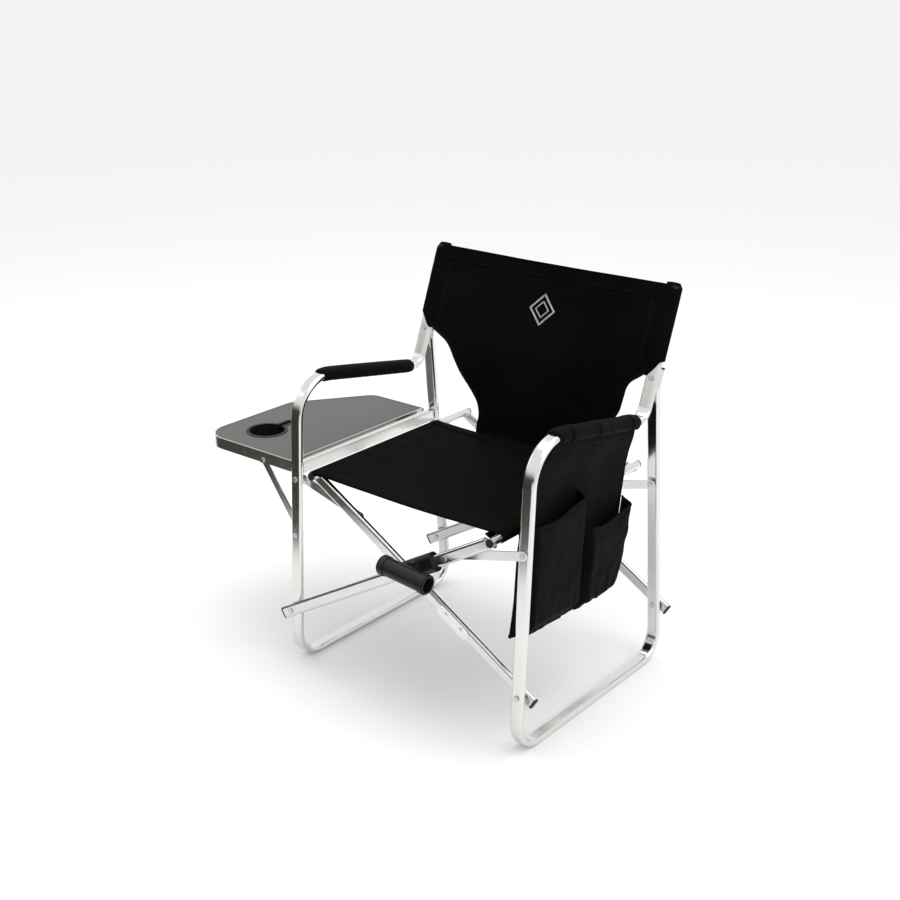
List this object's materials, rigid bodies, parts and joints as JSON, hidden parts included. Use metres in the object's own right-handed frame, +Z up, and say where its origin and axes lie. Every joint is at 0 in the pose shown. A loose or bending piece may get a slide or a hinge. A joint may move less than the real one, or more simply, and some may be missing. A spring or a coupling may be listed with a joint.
{
  "type": "folding camp chair with side table",
  "caption": "Folding camp chair: X-braced oval-tube side frames, sling seat and back, padded arms, drop-down side table with cup holder, arm organiser and swivelling rod holder",
  "frame": {"origin": "middle of the footprint box of the open chair, on the ground", "axes": "+X is across the chair towards the organiser, +Y runs from the front of the seat to its back, +Z up"},
  "size_m": [0.8744, 0.5856, 0.8055],
  "materials": {
    "polished_aluminium": "satin",
    "bright_edge": "satin",
    "black_sling": "woven polyester",
    "black_padding": "padded nylon",
    "black_pouch": "woven nylon",
    "black_webbing": "webbing",
    "black_plastic": "moulded",
    "cup_plastic": "moulded",
    "table_laminate": "textured laminate",
    "rivet_steel": "plated",
    "pin_steel": "plated"
  },
  "bodies": {
    "pouch_side_frame": {"pouch_side_frame_tube": "polished_aluminium", "pouch_side_end_plugs": "black_plastic", "pouch_side_post_rivet": "rivet_steel", "pouch_side_pivot_rivets": "rivet_steel", "pouch_side_spacers": "black_plastic", "pouch_side_arm_pad": "black_padding", "pouch_back_panel": "black_pouch", "pouch_front_pocket": "black_pouch", "pouch_rear_pocket": "black_pouch", "pouch_hanging_loops": "black_webbing", "back_sling_pouch_half": "black_sling"},
    "cross_set_1": {"cross_1_front_leg": "polished_aluminium", "cross_1_rear_leg": "polished_aluminium", "cross_1_end_caps": "black_plastic", "cross_1_seat_rail": "polished_aluminium", "cross_1_saddles": "bright_edge", "cross_1_link_pins": "rivet_steel", "cross_1_doubler_plate": "bright_edge", "centre_pivot_rivets": "rivet_steel", "centre_pivot_spacers": "black_plastic", "seat_sling_table_half": "black_sling"},
    "cross_set_2": {"cross_2_front_leg": "polished_aluminium", "cross_2_rear_leg": "polished_aluminium", "cross_2_end_caps": "black_plastic", "cross_2_seat_rail": "polished_aluminium", "cross_2_saddles": "bright_edge", "cross_2_link_pins": "rivet_steel", "seat_sling_pouch_half": "black_sling", "rod_clamp": "black_plastic", "rod_clamp_screw": "black_plastic", "rod_swivel_pin": "rivet_steel"},
    "table_side_frame": {"table_side_frame_tube": "polished_aluminium", "table_side_end_plugs": "black_plastic", "table_side_post_rivet": "rivet_steel", "table_side_pivot_rivets": "rivet_steel", "table_side_spacers": "black_plastic", "table_side_arm_pad": "black_padding", "back_sling_table_half": "black_sling", "table_hinge_rail": "polished_aluminium", "table_hinge_fixed_leaves": "pin_steel", "table_hinge_pins": "pin_steel"},
    "side_table": {"table_rim": "bright_edge", "table_board": "table_laminate", "table_hinge_leaves": "pin_steel", "cup_holder": "cup_plastic", "strut_stud": "rivet_steel"},
    "strut": {"table_strut": "bright_edge"},
    "rod_holder": {"rod_cradle": "black_plastic"},
    "link_front_pouch": {"link_front_pouch_side": "bright_edge"},
    "link_rear_pouch": {"link_rear_pouch_side": "bright_edge"},
    "link_front_table": {"link_front_table_side": "bright_edge"},
    "link_rear_table": {"link_rear_table_side": "bright_edge"}
  },
  "joints": [
    {"name": "fold", "type": "hinge", "parent": "pouch_side_frame", "child": "cross_set_1", "pos_m": [0.40677, -0.00413, 0.121], "axis": [0, 1, 0], "range_deg": [0, 34.34], "deforming": ["back_sling_pouch_half", "back_sling_table_half"]},
    {"name": "centre_pivot", "type": "hinge", "parent": "cross_set_1", "child": "cross_set_2", "pos_m": [0.12277, -0.00413, 0.2885], "axis": [0, 1, 0], "range_deg": [-68.68, 0], "deforming": ["seat_sling_table_half", "seat_sling_pouch_half"]},
    {"name": "table_side_pivot", "type": "hinge", "parent": "cross_set_2", "child": "table_side_frame", "pos_m": [-0.16123, -0.00413, 0.121], "axis": [0, 1, 0], "range_deg": [0, 34.34]},
    {"name": "link_front_pouch_pivot", "type": "hinge", "parent": "pouch_side_frame", "child": "link_front_pouch", "pos_m": [0.40677, -0.19607, 0.405], "axis": [0, 1, 0], "range_deg": [0, 76.7]},
    {"name": "link_front_table_pivot", "type": "hinge", "parent": "table_side_frame", "child": "link_front_table", "pos_m": [-0.16123, -0.19607, 0.405], "axis": [0, 1, 0], "range_deg": [-76.7, 0]},
    {"name": "link_rear_pouch_pivot", "type": "hinge", "parent": "pouch_side_frame", "child": "link_rear_pouch", "pos_m": [0.40677, 0.24377, 0.405], "axis": [0, 1, 0], "range_deg": [0, 76.7]},
    {"name": "link_rear_table_pivot", "type": "hinge", "parent": "table_side_frame", "child": "link_rear_table", "pos_m": [-0.16123, 0.24377, 0.405], "axis": [0, 1, 0], "range_deg": [-76.7, 0]},
    {"name": "table_fold", "type": "hinge", "parent": "table_side_frame", "child": "side_table", "pos_m": [-0.17323, 0.00988, 0.412], "axis": [0, -1, 0], "range_deg": [0, 90]},
    {"name": "strut_swing", "type": "hinge", "parent": "table_side_frame", "child": "strut", "pos_m": [-0.16123, -0.19542, 0.284], "axis": [0, -1, 0], "range_deg": [0, 144.15]},
    {"name": "rod_swivel", "type": "hinge", "parent": "cross_set_2", "child": "rod_holder", "pos_m": [0.18651, -0.24618, 0.32609], "axis": [0, 1, 0], "range_deg": [-45, 60]}
  ],
  "couplings": [
    {"joint": "centre_pivot", "follows": "fold", "ratio": -2},
    {"joint": "table_side_pivot", "follows": "fold", "ratio": 1},
    {"joint": "link_front_pouch_pivot", "follows": "fold", "ratio": 2.2334},
    {"joint": "link_rear_pouch_pivot", "follows": "fold", "ratio": 2.2334},
    {"joint": "link_front_table_pivot", "follows": "fold", "ratio": -2.2334},
    {"joint": "link_rear_table_pivot", "follows": "fold", "ratio": -2.2334},
    {"joint": "strut_swing", "follows": "table_fold", "ratio": 1.6016}
  ]
}
